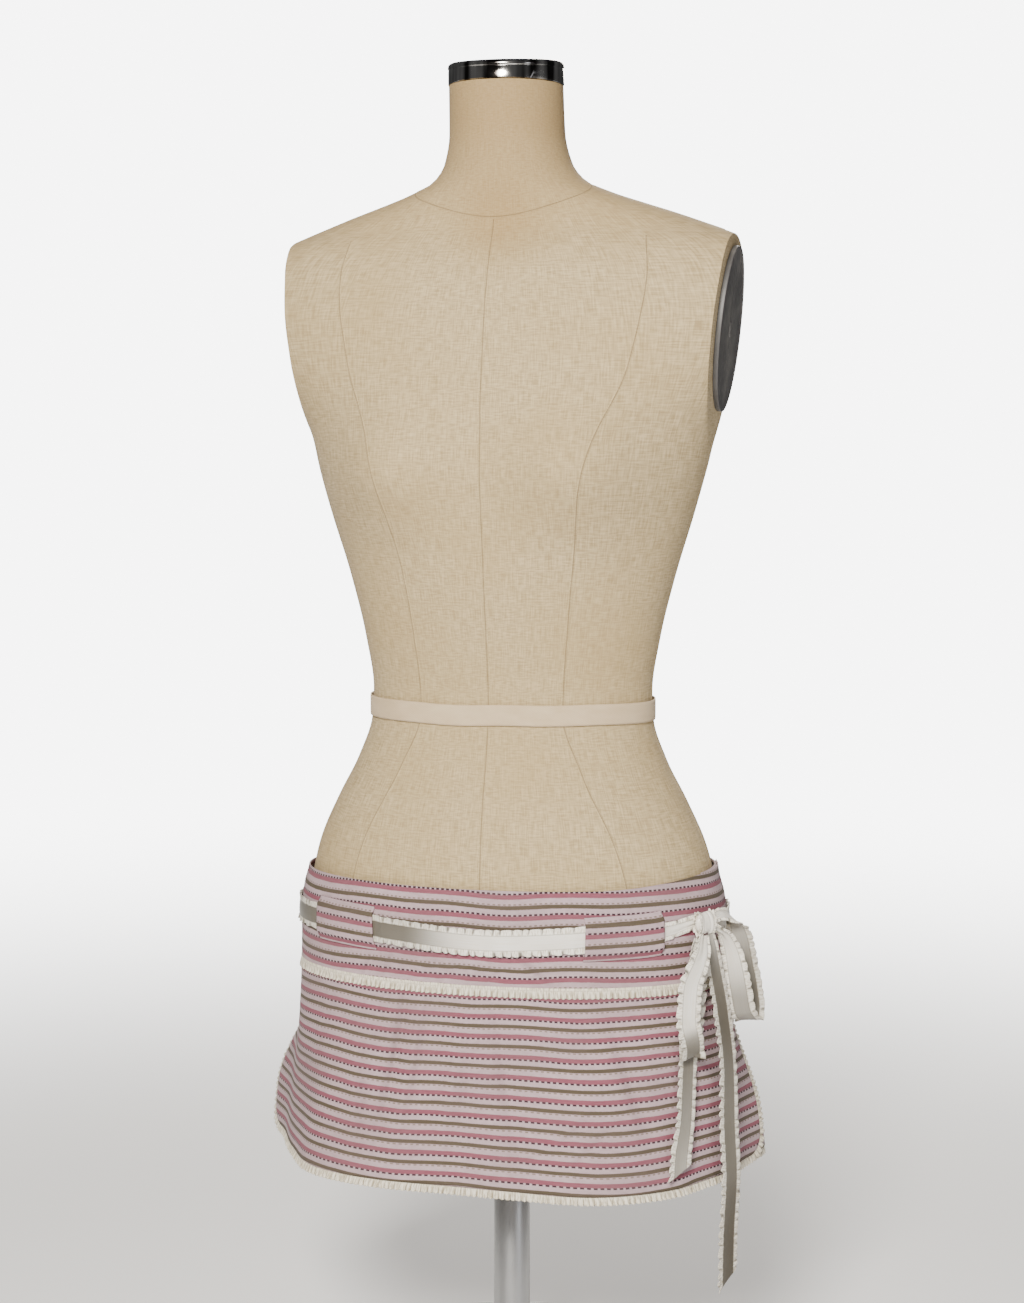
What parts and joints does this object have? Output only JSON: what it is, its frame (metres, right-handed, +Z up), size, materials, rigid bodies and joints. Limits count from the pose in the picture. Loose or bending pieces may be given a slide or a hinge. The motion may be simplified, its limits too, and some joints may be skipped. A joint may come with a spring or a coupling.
{
  "type": "wrap skirt on a dress form",
  "caption": "Short striped wrap skirt with a hip yoke, frilled edges and a ruffled ribbon bow at the left hip, on a limbless dress form with a stand.",
  "frame": {"origin": "middle of the stand's base on the floor, under the pole", "axes": "+Z up along the pole, -Y the figure's front, +X the figure's left hip, where the bow is"},
  "size_m": [0.4343, 0.38, 1.1044],
  "materials": {
    "stripe_cloth": "striped cotton, matt",
    "ribbon": "cream satin ribbon",
    "frill_trim": "ivory gathered trim",
    "linen": "unbleached linen stretched over a hard shell",
    "tape": "woven cotton tape",
    "plate": "dark grey, satin",
    "steel": "bright plated steel"
  },
  "bodies": {
    "root": {"form_torso": "linen", "neck_cap": "steel", "armhole_plate_left": "plate", "armhole_plate_right": "plate", "waist_tape": "tape", "stand_base": "steel", "stand_collar": "steel", "stand_pole": "steel", "yoke_front": "stripe_cloth", "yoke_back": "stripe_cloth", "panel_front": "stripe_cloth", "panel_back": "stripe_cloth", "trim_free_edge": "frill_trim", "trim_back_hem": "frill_trim", "trim_seam_front": "frill_trim", "trim_seam_back": "frill_trim", "belt_carrier_1": "stripe_cloth", "belt_carrier_2": "stripe_cloth", "belt_carrier_3": "stripe_cloth", "belt_carrier_4": "stripe_cloth", "ribbon_belt": "ribbon", "bow_knot": "ribbon", "bow_loop_front": "ribbon", "bow_loop_back": "ribbon", "bow_tail_short": "ribbon", "bow_tail_long": "ribbon"}
  },
  "joints": []
}
